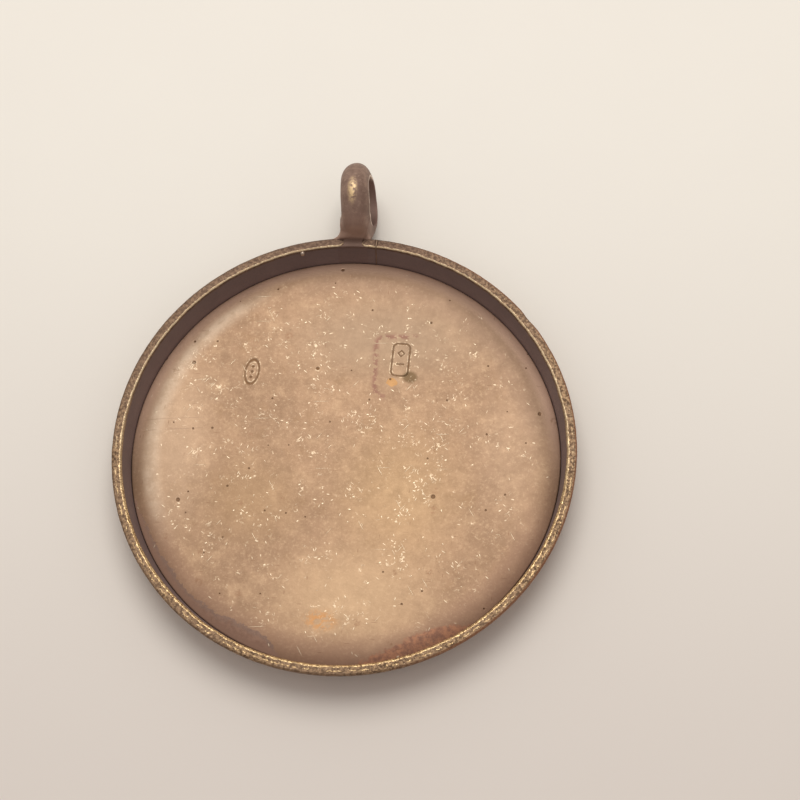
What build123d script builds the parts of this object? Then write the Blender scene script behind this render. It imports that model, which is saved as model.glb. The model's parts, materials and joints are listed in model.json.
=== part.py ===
"""Open round locket case: a bent side band, a domed floor sheet and a soldered bail.

Millimetres, +Z out of the open mouth, +Y towards the bail. The origin is the
centre of the case on the plane that it rests on.
"""
from build123d import *
from math import cos, degrees, radians, sin, sqrt
import os

# Case
case_radius = 14.0            # outside of the lip
case_height = 2.5             # rest plane to the top of the lip
mouth_radius = 13.4           # inside edge of the lip
edge_bevel = 0.13             # burnished bevel on the lip's inside edge
lip_depth = 0.36              # height of the lip's outside edge
lip_rounding = 0.09
lip_undercut = 0.08           # the lip's underside slopes down to the wall by this
strip_thickness = 0.32        # metal of the side wall and of its turned-in foot
foot_inner_radius = 12.35     # inside edge of the turned-in foot
foot_rounding = 0.5           # outside corner between wall and foot
foot_setback = 0.06           # the wall leans in by this at the foot
seat_radius = 13.1            # straight part of the wall that holds the floor

# Floor sheet
floor_radius = 13.06
floor_thickness = 0.5
floor_edge_depth = 1.73       # top of the lip down to the floor's edge
shoulder_start_radius = 11.2  # the floor rolls down from here to its edge
shoulder_slope = 25.0         # degrees, at the edge
crown_rise = 0.15             # the gentle dome inside the shoulder

# Solder between the floor and the band's foot
floor_solder_reach = 0.12     # starts this far outside the foot's inside edge
floor_solder_height = 0.2
floor_solder_slope = 0.35     # run of its sloping inside face

# Bail
bail_centre = (0.32, 16.43, 2.6)
bail_hole_radius = 1.53
bail_half_width = 0.9
bail_wall = 0.96              # hole to the crown of the half-round band
bail_yaw = 3.3                # degrees, the bail is bent a little about Z
bail_twist = -6.6             # degrees, and a little about Y
bail_edge_rounding = 0.05
foot_half_width = 0.52        # neck of the foot, where it crosses the lip
foot_flare = 0.42             # the lip's ends are turned back beside the foot
foot_bottom = 0.7
foot_inner_y = 12.8
foot_outer_y = 14.85
notch_bottom = 1.3            # the gap in the lip and wall goes down to here

# Solder about the bail's foot: half width and lowest point at three places along +Y
collar_base_half_width = 1.34
collar_shift = -0.08          # the solder sits a little towards -X
collar_base_y = case_radius - 0.45
collar_waist_y = case_radius + 0.35
collar_top_y = case_radius + 1.0
collar_rise = 0.3             # its underside climbs by this from each place to the next
collar_lift = 0.05            # its underside starts this far above the foot's
collar_waist_share = 0.78     # of the base's half width
collar_top_share = 0.64

# Joint in the side band, beside the bail
seam_angle = 83.7             # degrees from +X
seam_width = 0.06

# Marks struck in the floor
punch_depth = 0.07
punch_line = 0.08             # width of a struck line
oval_mark = (-5.97, 5.35)
oval_half_width = 0.46
oval_half_height = 0.86
oval_lean = -8.0              # degrees
oval_dot_radius = 0.07        # three dots stand in a row inside the oval
oval_dot_pitch = 0.36
dot_mark = (-1.9, 5.8)
dot_radius = 0.12
shield_mark = (3.25, 6.2)
shield_width = 1.0
shield_height = 2.3
shield_rounding = 0.35
shield_lean = -4.0            # degrees
lozenge_side = 0.36
lozenge_rise = 0.46           # above the middle of the shield
bar_length = 0.4
bar_drop = 0.35               # below the middle of the shield

# Knock in the lip's outside edge
nick_angle = 37.8             # degrees from +X
nick_radius = 1.4
nick_depth = 0.05

# Stray solder
solder_bead_angle = 103.5     # degrees from +X
solder_bead_radius = 0.16
solder_bead_drop = 0.1        # below the bevel's lower edge

floor_edge_top = case_height - floor_edge_depth
shoulder_width = floor_radius - shoulder_start_radius
shoulder_radius = shoulder_width / sin(radians(shoulder_slope))
shoulder_drop = shoulder_radius * (1 - cos(radians(shoulder_slope)))
shoulder_top = floor_edge_top + shoulder_drop
floor_crown = shoulder_top + crown_rise
wall_draft = (mouth_radius - seat_radius) / (floor_edge_depth - edge_bevel)


def turn_round(section, angle=360.0, start=0.0):
    """Sweep a section drawn as (radius, height) about the case's axis."""
    swept = revolve(Plane.XZ * section, Axis.Z, angle)
    return Rot(0, 0, start) * swept


def round_corner(section, corner, radius):
    """Round the one corner of a flat section nearest to a point."""
    vertex = section.vertices().sort_by_distance((corner[0], corner[1], 0))[0]
    return fillet(vertex, radius)


def wall_radius(height):
    """Inside radius of the side wall at a height above the rest plane."""
    drop = case_height - edge_bevel - height
    return max(seat_radius, mouth_radius - wall_draft * drop)


def shoulder_height(radius):
    """Top of the floor's rolled shoulder at a radius."""
    across = radius - shoulder_start_radius
    return shoulder_top - shoulder_radius + sqrt(shoulder_radius**2 - across**2)


def band_section():
    """Lip, drafted wall and turned-in foot of the bent side strip."""
    lip_bottom = case_height - lip_depth
    under_lip = (wall_radius(lip_bottom) + strip_thickness, lip_bottom - lip_undercut)
    wall_bottom = (seat_radius + strip_thickness - foot_setback, 0.0)
    corners = [
        (foot_inner_radius, 0.0),
        wall_bottom,
        under_lip,
        (case_radius, lip_bottom),
        (case_radius, case_height),
        (mouth_radius + edge_bevel, case_height),
        (mouth_radius, case_height - edge_bevel),
        (seat_radius, floor_edge_top),
        (seat_radius, strip_thickness),
        (foot_inner_radius, strip_thickness),
    ]
    section = Polygon(*corners, align=None)
    section = round_corner(section, wall_bottom, foot_rounding)
    section = round_corner(section, (case_radius, case_height), lip_rounding)
    return round_corner(section, (case_radius, lip_bottom), lip_rounding)


def foot_outline(margin=0.0):
    """Plan of the bail's foot: a neck between the turned-back ends of the lip."""
    flare_x = foot_half_width + foot_flare
    flare_y = mouth_radius + foot_flare
    neck_middle = (foot_inner_y + foot_outer_y) / 2
    root_middle = (foot_inner_y + flare_y) / 2
    neck = Pos(0, neck_middle) * Rectangle(2 * (foot_half_width + margin), foot_outer_y - foot_inner_y)
    root = Pos(0, root_middle) * Rectangle(2 * flare_x, flare_y - foot_inner_y)
    turned_back = Pos(flare_x, flare_y) * Circle(foot_flare - margin)
    return neck + root - turned_back - mirror(turned_back, Plane.YZ)


def foot_notch():
    """Cutter for the gap in the lip and upper wall, bevelled at the top."""
    bevel_bottom = case_height - lip_rounding
    straight = extrude(foot_outline(), bevel_bottom - notch_bottom)
    wide = Pos(0, 0, case_height) * foot_outline(lip_rounding)
    bevelled = loft([Pos(0, 0, bevel_bottom) * foot_outline(), wide], ruled=True)
    return Pos(0, 0, notch_bottom) * straight + bevelled


def lip_nick():
    """Cutter for the shallow knock in the lip's outside edge."""
    reach = case_radius + nick_radius - nick_depth
    return Rot(0, 0, nick_angle) * Pos(reach, 0, case_height) * Cylinder(nick_radius, 3 * lip_depth)


def side_band():
    """The side strip, bent round to a ring whose ends nearly meet."""
    gap = degrees(seam_width / case_radius)
    ring = turn_round(band_section(), 360 - gap, seam_angle + gap / 2)
    return ring - foot_notch() - lip_nick()


def band_seam():
    """Solder that fills the joint between the strip's two ends."""
    gap = degrees(seam_width / case_radius)
    return turn_round(band_section(), gap, seam_angle - gap / 2)


def crown_height(x, y=0.0):
    """Top of the floor's gentle dome above a point."""
    radius = (shoulder_start_radius**2 + crown_rise**2) / (2 * crown_rise)
    return floor_crown - radius + sqrt(radius**2 - x**2 - y**2)


def floor_blank():
    """The floor sheet before it is struck: crown, rolled shoulder and edge."""
    half_way = shoulder_start_radius / 2
    on_shoulder = (shoulder_start_radius + floor_radius) / 2
    land_drop = shoulder_top - floor_thickness - strip_thickness
    land = shoulder_start_radius + sqrt(shoulder_radius**2 - (shoulder_radius - land_drop) ** 2)
    under_shoulder = (shoulder_start_radius + land) / 2
    top = [
        (0, floor_crown),
        (half_way, crown_height(half_way)),
        (shoulder_start_radius, shoulder_top),
        (on_shoulder, shoulder_height(on_shoulder)),
        (floor_radius, floor_edge_top),
    ]
    under = [
        (floor_radius, strip_thickness),
        (land, strip_thickness),
        (under_shoulder, shoulder_height(under_shoulder) - floor_thickness),
        (shoulder_start_radius, shoulder_top - floor_thickness),
        (half_way, crown_height(half_way) - floor_thickness),
        (0, floor_crown - floor_thickness),
    ]
    outline = [
        ThreePointArc(top[0], top[1], top[2]),
        ThreePointArc(top[2], top[3], top[4]),
        Line(top[4], under[0]),
        Line(under[0], under[1]),
        ThreePointArc(under[1], under[2], under[3]),
        ThreePointArc(under[3], under[4], under[5]),
        Line(under[5], top[0]),
    ]
    return turn_round(make_face(outline))


def struck(outline, place):
    """A flat-bottomed cutter that strikes an outline into the floor."""
    bottom = crown_height(*place) - punch_depth
    return Pos(place[0], place[1], bottom) * extrude(outline, 1.0)


def oval_punch():
    """A plain oval ring round an upright row of three dots."""
    ring = Ellipse(oval_half_width, oval_half_height)
    ring -= Ellipse(oval_half_width - punch_line, oval_half_height - punch_line)
    dots = GridLocations(0, oval_dot_pitch, 1, 3) * Circle(oval_dot_radius)
    return Rot(0, 0, oval_lean) * (ring + dots)


def shield_punch():
    """A plain rounded frame round a lozenge and a bar."""
    inner_rounding = shield_rounding - punch_line
    frame = RectangleRounded(shield_width, shield_height, shield_rounding)
    frame -= RectangleRounded(shield_width - 2 * punch_line, shield_height - 2 * punch_line, inner_rounding)
    inner_side = lozenge_side - 2 * punch_line
    lozenge = Rectangle(lozenge_side, lozenge_side) - Rectangle(inner_side, inner_side)
    lozenge = Pos(0, lozenge_rise) * Rot(0, 0, 45) * lozenge
    bar = Pos(0, -bar_drop) * Rectangle(bar_length, punch_line)
    return Rot(0, 0, shield_lean) * (frame + lozenge + bar)


def floor_sheet():
    """The floor with its struck marks."""
    sheet = floor_blank()
    sheet -= struck(oval_punch(), oval_mark)
    sheet -= struck(Circle(dot_radius), dot_mark)
    sheet -= struck(shield_punch(), shield_mark)
    return sheet


def floor_solder(floor):
    """Solder run into the wedge between the band's foot and the floor."""
    inner = foot_inner_radius + floor_solder_reach
    top = strip_thickness + floor_solder_height
    wedge = Polygon(
        (inner, strip_thickness),
        (floor_radius, strip_thickness),
        (floor_radius, top),
        (inner + floor_solder_slope, top),
        align=None,
    )
    return turn_round(wedge) - floor


def bail_frame():
    """Plane at the middle of the bail's hole, normal to the hole."""
    tilt = Plane.XY.rotated((0, bail_twist, 0)).rotated((0, 0, bail_yaw))
    return Plane(origin=bail_centre, x_dir=tilt.y_dir, z_dir=tilt.x_dir)


def bail_ring():
    """Half-round band bent to a ring, flat side in."""
    dome = Pos(bail_hole_radius, 0) * Ellipse(bail_wall, bail_half_width)
    outside = Pos(bail_hole_radius + bail_wall / 2, 0) * Rectangle(bail_wall, 2 * bail_half_width)
    section = dome & outside
    section = round_corner(section, (bail_hole_radius, bail_half_width), bail_edge_rounding)
    section = round_corner(section, (bail_hole_radius, -bail_half_width), bail_edge_rounding)
    ring = revolve(Plane.XZ * section, Axis.Z)
    return bail_frame() * ring


def bail_hole():
    """Cutter for the bail's hole."""
    return bail_frame() * Cylinder(bail_hole_radius, 6 * bail_half_width)


def case_inside():
    """The space inside the wall and above the floor's edge, out past the mouth."""
    top = case_height + 1
    bevel_bottom = case_height - edge_bevel
    return turn_round(
        Polygon(
            (0, 0),
            (seat_radius, 0),
            (seat_radius, floor_edge_top),
            (mouth_radius, bevel_bottom),
            (mouth_radius, top),
            (0, top),
            align=None,
        )
    )


def bail(band):
    """Ring and foot in one piece; the foot fills the gap in the lip."""
    foot = Pos(0, 0, foot_bottom) * extrude(foot_outline(), case_height - foot_bottom)
    foot = foot - case_inside() - bail_hole()
    return bail_ring() + foot - band


def collar_section(y, half_width, low):
    """An upright oval across the bail's foot, reaching up to the lip's edge."""
    high = case_height - lip_rounding
    plane = Plane(origin=(collar_shift, y, (low + high) / 2), x_dir=(1, 0, 0), z_dir=(0, 1, 0))
    return plane * Ellipse(half_width, (high - low) / 2)


def bail_solder(band, bail_piece):
    """Solder that flares from the foot onto the case: its left and right fillets."""
    lowest = foot_bottom + collar_lift
    waist_half_width = collar_waist_share * collar_base_half_width
    top_half_width = collar_top_share * collar_base_half_width
    base = collar_section(collar_base_y, collar_base_half_width, lowest)
    waist = collar_section(collar_waist_y, waist_half_width, lowest + collar_rise)
    top = collar_section(collar_top_y, top_half_width, lowest + 2 * collar_rise)
    collar = loft([base, waist, top]) - case_inside() - bail_hole() - band - bail_piece
    fillets = collar.solids().sort_by(SortBy.VOLUME)[-2:]
    return fillets.sort_by(Axis.X)


def solder_bead(band):
    """A stray bead of solder on the mouth's edge."""
    place = Pos(mouth_radius, 0, case_height - edge_bevel - solder_bead_drop)
    bead = Rot(0, 0, solder_bead_angle) * place * Sphere(solder_bead_radius)
    return bead - band


parts = {}
parts["side_band"] = side_band()
parts["band_seam_solder"] = band_seam()
parts["floor_sheet"] = floor_sheet()
parts["floor_solder"] = floor_solder(parts["floor_sheet"])
parts["bail"] = bail(parts["side_band"])
left_fillet, right_fillet = bail_solder(parts["side_band"], parts["bail"])
parts["bail_solder_left"] = left_fillet
parts["bail_solder_right"] = right_fillet
parts["solder_bead"] = solder_bead(parts["side_band"])

os.makedirs("parts", exist_ok=True)
for name, shape in parts.items():
    export_step(shape, f"parts/{name}.step")
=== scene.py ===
"""Looks of the open round locket case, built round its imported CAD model."""
import functools
import json
import math

import bpy
import numpy as np
import openvdb
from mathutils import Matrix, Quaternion, Vector


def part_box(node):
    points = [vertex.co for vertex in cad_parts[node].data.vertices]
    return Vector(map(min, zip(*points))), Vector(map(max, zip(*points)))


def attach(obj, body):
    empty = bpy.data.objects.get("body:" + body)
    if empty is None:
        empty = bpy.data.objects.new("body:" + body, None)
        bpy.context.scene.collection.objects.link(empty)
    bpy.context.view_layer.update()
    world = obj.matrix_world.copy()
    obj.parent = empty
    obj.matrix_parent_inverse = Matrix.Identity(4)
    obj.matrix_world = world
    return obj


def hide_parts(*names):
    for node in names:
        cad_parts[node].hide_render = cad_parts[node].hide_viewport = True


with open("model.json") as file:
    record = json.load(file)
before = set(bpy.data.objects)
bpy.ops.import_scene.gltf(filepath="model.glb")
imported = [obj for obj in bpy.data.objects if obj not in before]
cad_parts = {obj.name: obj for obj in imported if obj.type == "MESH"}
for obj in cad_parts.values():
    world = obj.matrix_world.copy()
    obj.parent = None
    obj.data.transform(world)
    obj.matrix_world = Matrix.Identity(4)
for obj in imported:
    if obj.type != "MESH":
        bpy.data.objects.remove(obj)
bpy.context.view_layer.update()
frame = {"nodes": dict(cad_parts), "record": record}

MM = 0.001                                  # one millimetre in metres
BODY = "root"

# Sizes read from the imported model, in millimetres
band_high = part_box("side_band")[1] / MM
floor_low, floor_high = (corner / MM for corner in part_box("floor_sheet"))
bail_low, bail_high = (np.array(corner / MM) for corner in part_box("bail"))
bead_low, bead_high = (np.array(corner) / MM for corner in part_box("solder_bead"))
eye = next(m for m in frame["record"]["mounts"] if m["name"] == "chain_eye")
EYE_CENTRE = np.array(eye["pos_m"]) / MM
EYE_AXIS = np.array(eye["axis"]) / np.linalg.norm(eye["axis"])
EYE_RADIUS = eye["dims"]["r_mm"]
CASE_RADIUS = band_high.x
CASE_HEIGHT = band_high.z
FLOOR_RADIUS = floor_high.x
FLOOR_CROWN = floor_high.z
FLOOR_SEAT = floor_low.z

# Shape of the metal, in millimetres
MOUTH_RADIUS = CASE_RADIUS - 0.6            # inside edge of the lip
SEAT_RADIUS = CASE_RADIUS - 0.9             # wall where it holds the floor
FOOT_INNER_RADIUS = CASE_RADIUS - 1.65
STRIP_THICKNESS = 0.32
LIP_DEPTH = 0.36
LIP_BOTTOM = CASE_HEIGHT - LIP_DEPTH
EDGE_BEVEL = 0.1
FLOOR_EDGE_TOP = CASE_HEIGHT - 1.73
FLOOR_THICKNESS = 0.5
SHOULDER_START = FLOOR_RADIUS - 1.86
SHOULDER_SLOPE = math.radians(25)
NECK_HALF_WIDTH = 0.52                      # bail's foot where it crosses the lip
LIP_END_RADIUS = 0.42                       # the lip's ends turn back round this
NOTCH_BOTTOM = 1.3
NECK_BOTTOM = 0.7
NECK_EDGE = 0.02                            # the neck laps over the lip's ends by this
BAIL_WALL = 0.96                            # hole to the crown of the half-round band
BAIL_HALF_WIDTH = 0.9
WALL_OVERLAP = 0.005                        # the foot stands this far into the mouth
SOLDER_REACH = {-1: 0.85, 1: 0.5}           # size of the fillets left and right of the bail
SEAM_ANGLE = math.radians(83.7)
SEAM_WIDTH = 0.06
NICK_ANGLE = math.radians(37.8)
NICK_WIDTH = 0.45
NICK_DEPTH = 0.06

# Struck marks in the floor: places and sizes in millimetres
OVAL_MARK = (-5.97, 5.35)
OVAL_HALF_SIZE = (0.42, 0.82)
OVAL_TURN = -8
OVAL_DOT_PITCH = 0.36
OVAL_DOT_RADIUS = 0.04
DOT_MARK = (-1.9, 5.6)
DOT_RADIUS = 0.06
SHIELD_MARK = (3.2, 6.25)
SHIELD_HALF_SIZE = (0.52, 1.08)
SHIELD_CORNER = 0.3
SHIELD_TURN = -4
LOZENGE_RISE = 0.42
LOZENGE_REACH = 0.2
BAR_DROP = 0.3
BAR_HALF_LENGTH = 0.2
GHOST_MARK = (3.05, 5.8)
GHOST_HALF_SIZE = (1.4, 2.0)
GHOST_CORNER = 0.6
GHOST_WIDTH = 0.17
GROOVE_WIDTH = 0.034
GROOVE_DEPTH = 0.03
BURR_HEIGHT = 0.01

# Mesh sizes, in millimetres and degrees
FLOOR_STEP, FLOOR_FINE_STEP = 0.17, 0.031
FLOOR_TURN_STEP, FLOOR_FINE_TURN_STEP = 1.0, 0.21
MARK_RADII = [(5.75, 8.9)]
MARK_ANGLES = [(53, 71), (107, 110), (131, 145)]
BAND_STEP = 0.13
BAND_TURN_STEP, BAND_FINE_TURN_STEP = 0.5, 0.12
BAIL_CELL, SOLDER_CELL, BEAD_CELL = 0.036, 0.032, 0.02
INNER_RING = 0.05                           # innermost ring of the floor, closed by one face
CARVE_MARGIN, BEAD_MARGIN = 0.12, 0.08      # room left round a carved piece

# Box round the solder fillets, in millimetres
SOLDER_HALF_WIDTH = 1.9
SOLDER_FROM, SOLDER_TO = 13.3, 15.9
SOLDER_BOTTOM, SOLDER_RISE = 0.2, 1.4
SOLDER_PAST_MIDDLE = 0.06


# ---------------------------------------------------------------- geometry tools


def ripple(points, wavelength, count=14, seed=1):
    """Smooth seeded noise of about unit size: a sum of plane waves."""
    local = np.random.default_rng(seed)
    directions = local.normal(size=(count, points.shape[-1]))
    directions /= np.linalg.norm(directions, axis=1)[:, None]
    spread = local.uniform(0.6, 1.6, count)
    phases = local.uniform(0, 2 * np.pi, count)
    total = np.zeros(points.shape[:-1])
    for direction, factor, phase in zip(directions, spread, phases):
        total += np.sin(points @ direction * (2 * np.pi * factor / wavelength) + phase)
    return total / math.sqrt(count)


def smooth_min(a, b, k):
    """Union of two distance fields with a fillet of about size k."""
    h = np.clip(0.5 + 0.5 * (b - a) / k, 0, 1)
    return b + (a - b) * h - k * h * (1 - h)


def smooth_max(a, b, k):
    """Overlap of two distance fields, with the edge rounded by about size k."""
    return -smooth_min(-a, -b, k)


def mesh_object(name, vertices, faces, attributes=None):
    """A smooth-shaded object from vertices in millimetres; attributes are per vertex."""
    mesh = bpy.data.meshes.new(name)
    mesh.from_pydata((np.asarray(vertices) * MM).tolist(), [], [list(map(int, f)) for f in faces])
    mesh.validate()
    mesh.shade_smooth()
    for key, values in (attributes or {}).items():
        layer = mesh.attributes.new(key, "FLOAT", "POINT")
        layer.data.foreach_set("value", np.asarray(values, np.float32))
    obj = bpy.data.objects.new(name, mesh)
    bpy.context.scene.collection.objects.link(obj)
    return obj


def carve(name, field, low, high, cell):
    """Mesh of the surface where a distance field is zero, inside a box."""
    axes = [np.arange(a, b + cell, cell) for a, b in zip(low, high)]
    grid = np.stack(np.meshgrid(*axes, indexing="ij"), axis=-1)
    values = field(grid)
    for axis in range(3):
        edge = [slice(None)] * 3
        for side in (0, -1):
            edge[axis] = side
            values[tuple(edge)] = np.maximum(values[tuple(edge)], cell)
    volume = openvdb.FloatGrid(3 * cell)
    volume.copyFromArray(np.clip(values, -3 * cell, 3 * cell).astype(np.float32))
    points, quads = volume.convertToQuads(0.0)
    return mesh_object(name, np.asarray(low) + points * cell, quads[:, ::-1])


def graded(low, high, step, dense, fine):
    """Grid lines from low to high, closer together inside the dense stretches."""
    lines = [low]
    while lines[-1] < high - fine / 2:
        here = lines[-1]
        inside = any(a <= here < b for a, b in dense)
        upcoming = [a - here for a, b in dense if a > here]
        stride = fine if inside else min([step] + [max(gap, fine) for gap in upcoming])
        lines.append(here + stride)
    lines[-1] = high
    return np.array(lines)


# ---------------------------------------------------------------- floor sheet


def floor_profile(radius):
    """Height of the floor's top at a radius: a gentle crown, then a rolled shoulder."""
    roll = (FLOOR_RADIUS - SHOULDER_START) / math.sin(SHOULDER_SLOPE)
    drop = roll * (1 - math.cos(SHOULDER_SLOPE))
    shoulder_top = FLOOR_EDGE_TOP + drop
    rise = FLOOR_CROWN - shoulder_top
    crown = shoulder_top + rise * (1 - (radius / SHOULDER_START) ** 2)
    across = np.clip(radius - SHOULDER_START, 0, roll)
    shoulder = shoulder_top - roll + np.sqrt(roll**2 - across**2)
    return np.where(radius < SHOULDER_START, crown, shoulder)


def turned(x, y, place, degrees):
    """Coordinates about a place, turned by an angle."""
    a = math.radians(degrees)
    dx, dy = x - place[0], y - place[1]
    return dx * math.cos(a) + dy * math.sin(a), -dx * math.sin(a) + dy * math.cos(a)


def oval_line(u, v, half_width, half_height):
    """Rough distance to an oval's outline."""
    size = np.hypot(u / half_width, v / half_height)
    return np.abs(size - 1) * half_width


def frame_line(u, v, half_width, half_height, corner):
    """Distance to a rounded frame's outline."""
    du = np.abs(u) - half_width + corner
    dv = np.abs(v) - half_height + corner
    outside = np.hypot(np.maximum(du, 0), np.maximum(dv, 0))
    return np.abs(outside + np.minimum(np.maximum(du, dv), 0) - corner)


def mark_distance(x, y):
    """Distance to the nearest line of the plain struck marks."""
    u, v = turned(x, y, OVAL_MARK, OVAL_TURN)
    lines = [oval_line(u, v, *OVAL_HALF_SIZE)]
    for rise in (-OVAL_DOT_PITCH, 0.0, OVAL_DOT_PITCH):
        lines.append(np.maximum(np.hypot(u, v - rise) - OVAL_DOT_RADIUS, 0))
    u, v = turned(x, y, SHIELD_MARK, SHIELD_TURN)
    lines.append(frame_line(u, v, *SHIELD_HALF_SIZE, SHIELD_CORNER))
    lines.append(np.abs(np.abs(u) + np.abs(v - LOZENGE_RISE) - LOZENGE_REACH))
    lines.append(np.hypot(np.maximum(np.abs(u) - BAR_HALF_LENGTH, 0), v + BAR_DROP))
    lines.append(np.maximum(np.hypot(x - DOT_MARK[0], y - DOT_MARK[1]) - DOT_RADIUS, 0))
    return np.minimum.reduce(lines)


def ghost_line(x, y):
    """Strength of a faint larger frame, left by a tool round the right-hand mark."""
    u, v = x - GHOST_MARK[0], y - GHOST_MARK[1]
    line = np.exp(-((frame_line(u, v, *GHOST_HALF_SIZE, GHOST_CORNER) / GHOST_WIDTH) ** 2))
    left_and_top = 1.0 - (u + 0.9 - np.clip(v - 1.4, 0, 9) * 3) / 0.4
    return line * np.clip(left_and_top, 0, 1)


def floor_sheet():
    """The floor: crown, shoulder, struck marks and the slight waves of old sheet."""
    radii = graded(INNER_RING, FLOOR_RADIUS, FLOOR_STEP, MARK_RADII, FLOOR_FINE_STEP)
    dense = [(math.radians(a), math.radians(b)) for a, b in MARK_ANGLES]
    step, fine = math.radians(FLOOR_TURN_STEP), math.radians(FLOOR_FINE_TURN_STEP)
    angles = graded(0.0, 2 * math.pi, step, dense, fine)[:-1]
    r, a = np.meshgrid(radii, angles, indexing="ij")
    x, y = r * np.cos(a), r * np.sin(a)
    marks = mark_distance(x, y)
    waves = 0.008 * ripple(np.stack([x, y], -1), 6.0, seed=3)
    waves += 0.0016 * ripple(np.stack([x, y], -1), 2.2, seed=4)
    fade = np.clip((FLOOR_RADIUS - r) / 1.2, 0, 1)
    z = floor_profile(r) + waves * fade
    burr = np.exp(-(((marks - 2.5 * GROOVE_WIDTH) / 0.03) ** 2))
    z += BURR_HEIGHT * burr - GROOVE_DEPTH * np.exp(-((marks / GROOVE_WIDTH) ** 2))
    rings, spokes = z.shape
    top = np.stack([x, y, z], -1).reshape(-1, 3)
    edge_radii = [FLOOR_RADIUS, FLOOR_RADIUS - 0.12]
    under_radii = np.concatenate([edge_radii, np.linspace(SHOULDER_START, INNER_RING, 8)])
    under = []
    for radius in under_radii:
        height = max(float(floor_profile(np.array(radius))) - FLOOR_THICKNESS, FLOOR_SEAT)
        ring = [radius * np.cos(angles), radius * np.sin(angles), np.full(spokes, height)]
        under.append(np.stack(ring, -1))
    vertices = np.concatenate([top] + under)
    rows = rings + len(under_radii)
    index = np.arange(rows * spokes).reshape(rows, spokes)
    ahead = np.roll(index, -1, axis=1)
    quads = np.stack([index[:-1], index[1:], ahead[1:], ahead[:-1]], -1).reshape(-1, 4)
    faces = quads.tolist() + [index[0].tolist(), index[-1][::-1].tolist()]
    groove = np.exp(-((marks / 0.03) ** 2))
    attributes = {}
    for key, values in (("groove", groove), ("burr", burr), ("ghost", ghost_line(x, y))):
        attributes[key] = np.zeros(len(vertices))
        attributes[key][: rings * spokes] = values.ravel()
    return mesh_object("floor_plate", vertices, faces, attributes)


# ---------------------------------------------------------------- side band


def wall_radius(height):
    """Inside radius of the drafted side wall."""
    top = CASE_HEIGHT - EDGE_BEVEL
    share = np.clip((height - FLOOR_EDGE_TOP) / (top - FLOOR_EDGE_TOP), 0, 1)
    return SEAT_RADIUS + (MOUTH_RADIUS - SEAT_RADIUS) * share


def lip_root():
    """(radius, height) where the lip's sloping underside meets the wall's outside."""
    return float(wall_radius(LIP_BOTTOM)) + STRIP_THICKNESS, LIP_BOTTOM - 0.08


def rounded_corner(before, corner, after, radius, steps=5):
    """Points on an arc that rounds a corner of an outline."""
    corner = np.array(corner, float)
    to_before = np.array(before) - corner
    to_after = np.array(after) - corner
    to_before /= np.linalg.norm(to_before)
    to_after /= np.linalg.norm(to_after)
    half = math.acos(np.clip(to_before @ to_after, -1, 1)) / 2
    bisector = to_before + to_after
    centre = corner + bisector / np.linalg.norm(bisector) * radius / math.sin(half)
    start = corner + to_before * radius / math.tan(half)
    end = corner + to_after * radius / math.tan(half)
    points = []
    for share in np.linspace(0, 1, steps):
        spoke = start + (end - start) * share - centre
        points.append(tuple(centre + spoke / np.linalg.norm(spoke) * radius))
    return points


def band_outline():
    """Closed section of the band as (radius, height) points."""
    corners = [
        ((FOOT_INNER_RADIUS, 0.0), 0.09),
        ((SEAT_RADIUS + STRIP_THICKNESS - 0.06, 0.0), 0.5),
        (lip_root(), 0.06),
        ((CASE_RADIUS, LIP_BOTTOM), 0.1),
        ((CASE_RADIUS, CASE_HEIGHT), 0.1),
        ((MOUTH_RADIUS + EDGE_BEVEL, CASE_HEIGHT), 0.05),
        ((MOUTH_RADIUS, CASE_HEIGHT - EDGE_BEVEL), 0.03),
        ((SEAT_RADIUS, FLOOR_EDGE_TOP), 0.0),
        ((SEAT_RADIUS, STRIP_THICKNESS), 0.0),
        ((FOOT_INNER_RADIUS, STRIP_THICKNESS), 0.04),
    ]
    points = []
    for i, (corner, radius) in enumerate(corners):
        if radius == 0:
            points.append(corner)
        else:
            before, after = corners[i - 1][0], corners[(i + 1) % len(corners)][0]
            points += rounded_corner(before, corner, after, radius)
    dense = []
    for i, (r, z) in enumerate(points):
        nr, nz = points[(i + 1) % len(points)]
        pieces = max(1, int(math.hypot(nr - r, nz - z) / BAND_STEP))
        for k in range(pieces):
            dense.append((r + (nr - r) * k / pieces, z + (nz - z) * k / pieces))
    return np.array(dense)


def lip_end(x):
    """Inside edge of the lip beside the bail, where its ends turn outwards."""
    across = np.clip(NECK_HALF_WIDTH + LIP_END_RADIUS - np.abs(x), 0, LIP_END_RADIUS)
    return MOUTH_RADIUS + LIP_END_RADIUS - np.sqrt(LIP_END_RADIUS**2 - across**2)


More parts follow.
